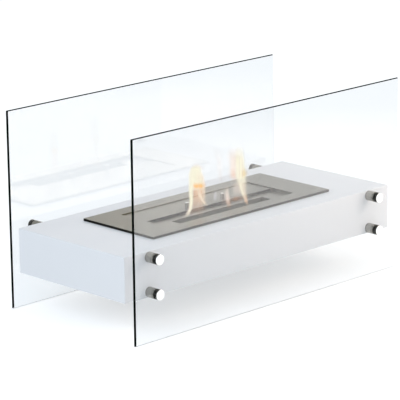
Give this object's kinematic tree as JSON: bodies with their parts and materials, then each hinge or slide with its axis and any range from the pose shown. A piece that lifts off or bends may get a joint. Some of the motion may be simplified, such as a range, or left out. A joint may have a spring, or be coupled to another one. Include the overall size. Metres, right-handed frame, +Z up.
{
  "type": "bioethanol fireplace",
  "caption": "Free-standing bioethanol fireplace: white steel housing hung between clear glass panels on round stand-offs, with a stainless burner and a sliding damper.",
  "frame": {"origin": "on the floor, under the middle of the object", "axes": "+X along the fireplace to the right as seen from the front, +Y to the rear, +Z up"},
  "size_m": [0.9, 0.448, 0.484],
  "materials": {
    "glass": "clear polished toughened glass",
    "white_paint": "smooth white powder coat",
    "satin_steel": "satin stainless steel",
    "brushed_barrel": "fine turned stainless steel",
    "polished_cap": "mirror polished",
    "black_rubber": "matt black",
    "zinc_steel": "dull zinc plated",
    "ceramic_wool": "fibrous white wool"
  },
  "bodies": {
    "hearth": {"front_glass": "glass", "rear_glass": "glass", "housing_shell": "white_paint", "base_cover": "white_paint", "base_screw_1": "zinc_steel", "base_screw_2": "zinc_steel", "base_screw_3": "zinc_steel", "base_screw_4": "zinc_steel", "base_screw_5": "zinc_steel", "base_screw_6": "zinc_steel", "front_left_upper_barrel": "brushed_barrel", "front_left_upper_inner_gasket": "black_rubber", "front_left_upper_outer_gasket": "black_rubber", "front_left_upper_cap": "polished_cap", "front_left_upper_bolt": "zinc_steel", "front_left_lower_barrel": "brushed_barrel", "front_left_lower_inner_gasket": "black_rubber", "front_left_lower_outer_gasket": "black_rubber", "front_left_lower_cap": "polished_cap", "front_left_lower_bolt": "zinc_steel", "front_right_upper_barrel": "brushed_barrel", "front_right_upper_inner_gasket": "black_rubber", "front_right_upper_outer_gasket": "black_rubber", "front_right_upper_cap": "polished_cap", "front_right_upper_bolt": "zinc_steel", "front_right_lower_barrel": "brushed_barrel", "front_right_lower_inner_gasket": "black_rubber", "front_right_lower_outer_gasket": "black_rubber", "front_right_lower_cap": "polished_cap", "front_right_lower_bolt": "zinc_steel", "rear_left_upper_barrel": "brushed_barrel", "rear_left_upper_inner_gasket": "black_rubber", "rear_left_upper_outer_gasket": "black_rubber", "rear_left_upper_cap": "polished_cap", "rear_left_upper_bolt": "zinc_steel", "rear_left_lower_barrel": "brushed_barrel", "rear_left_lower_inner_gasket": "black_rubber", "rear_left_lower_outer_gasket": "black_rubber", "rear_left_lower_cap": "polished_cap", "rear_left_lower_bolt": "zinc_steel", "rear_right_upper_barrel": "brushed_barrel", "rear_right_upper_inner_gasket": "black_rubber", "rear_right_upper_outer_gasket": "black_rubber", "rear_right_upper_cap": "polished_cap", "rear_right_upper_bolt": "zinc_steel", "rear_right_lower_barrel": "brushed_barrel", "rear_right_lower_inner_gasket": "black_rubber", "rear_right_lower_outer_gasket": "black_rubber", "rear_right_lower_cap": "polished_cap", "rear_right_lower_bolt": "zinc_steel", "burner_flange": "satin_steel", "burner_pan": "satin_steel", "fuel_tank": "satin_steel", "ceramic_wool": "ceramic_wool", "safety_tray": "satin_steel"},
    "damper": {"damper_plate": "satin_steel", "damper_peg_left": "polished_cap", "damper_peg_right": "polished_cap"}
  },
  "joints": [
    {"name": "damper_slide", "type": "slide", "parent": "hearth", "child": "damper", "axis": [0, -1, 0], "range_m": [0, 0.0775]}
  ]
}
